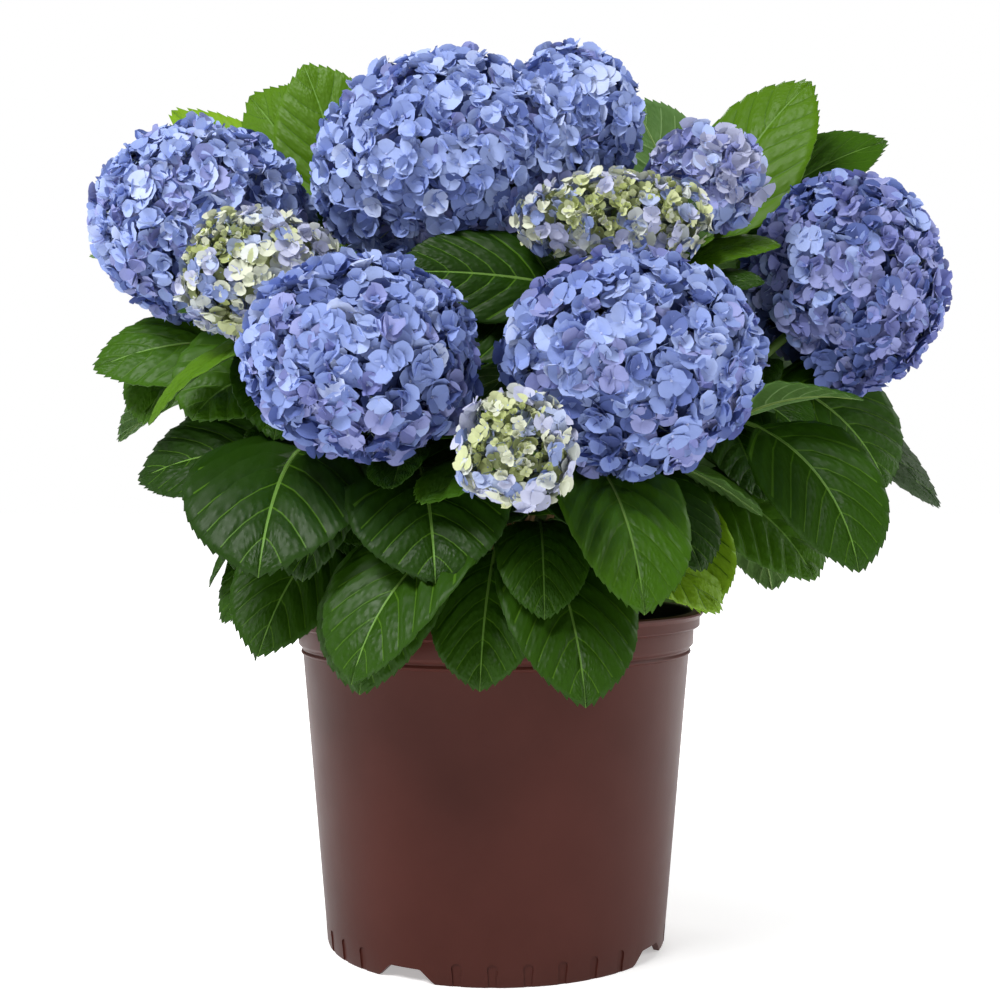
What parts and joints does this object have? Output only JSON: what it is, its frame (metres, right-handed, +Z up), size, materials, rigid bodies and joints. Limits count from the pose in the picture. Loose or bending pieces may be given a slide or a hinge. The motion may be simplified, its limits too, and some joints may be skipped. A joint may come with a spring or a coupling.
{
  "type": "potted hydrangea shrub",
  "caption": "Bigleaf hydrangea shrub with round flower heads and broad leaves on arching canes, growing in a tapered plastic nursery pot with a lip and feet.",
  "frame": {"origin": "middle of the plant's footprint at ground level, which is the pot's axis where its feet stand", "axes": "+Z up, -Y towards the plant's front, +X to its right as a viewer in front sees it"},
  "size_m": [0.6532, 0.5304, 0.6341],
  "materials": {
    "pot_plastic": "satin",
    "potting_mix": "rough",
    "bark": "rough",
    "foliage": "semi-gloss",
    "flowers_blue": "matt",
    "flowers_mauve": "matt",
    "flowers_young": "matt"
  },
  "bodies": {
    "root": {"cane_front_left": "bark", "cane_front_right": "bark", "cane_leafy_front": "bark", "cane_leafy_left": "bark", "cane_leafy_rear": "bark", "cane_leafy_rear_left": "bark", "cane_leafy_rear_right": "bark", "cane_leafy_right": "bark", "cane_leafy_upper_left": "bark", "cane_leafy_upper_right": "bark", "cane_left": "bark", "cane_rear_left": "bark", "cane_rear_low_left": "bark", "cane_rear_low_right": "bark", "cane_rear_middle": "bark", "cane_rear_right": "bark", "cane_right": "bark", "cane_top": "bark", "cane_upper_right": "bark", "cane_young_front": "bark", "cane_young_left": "bark", "cane_young_top": "bark", "pot": "pot_plastic", "shoot_front_left": "flowers_blue", "shoot_front_right": "flowers_blue", "shoot_leafy_front": "foliage", "shoot_leafy_left": "foliage", "shoot_leafy_rear": "foliage", "shoot_leafy_rear_left": "foliage", "shoot_leafy_rear_right": "foliage", "shoot_leafy_right": "foliage", "shoot_leafy_upper_left": "foliage", "shoot_leafy_upper_right": "foliage", "shoot_left": "flowers_blue", "shoot_rear_left": "flowers_blue", "shoot_rear_low_left": "flowers_blue", "shoot_rear_low_right": "flowers_blue", "shoot_rear_middle": "flowers_mauve", "shoot_rear_right": "flowers_blue", "shoot_right": "flowers_mauve", "shoot_top": "flowers_blue", "shoot_upper_right": "flowers_mauve", "shoot_young_front": "flowers_young", "shoot_young_left": "flowers_young", "shoot_young_top": "flowers_young", "soil": "potting_mix", "stem": "bark"}
  },
  "joints": []
}
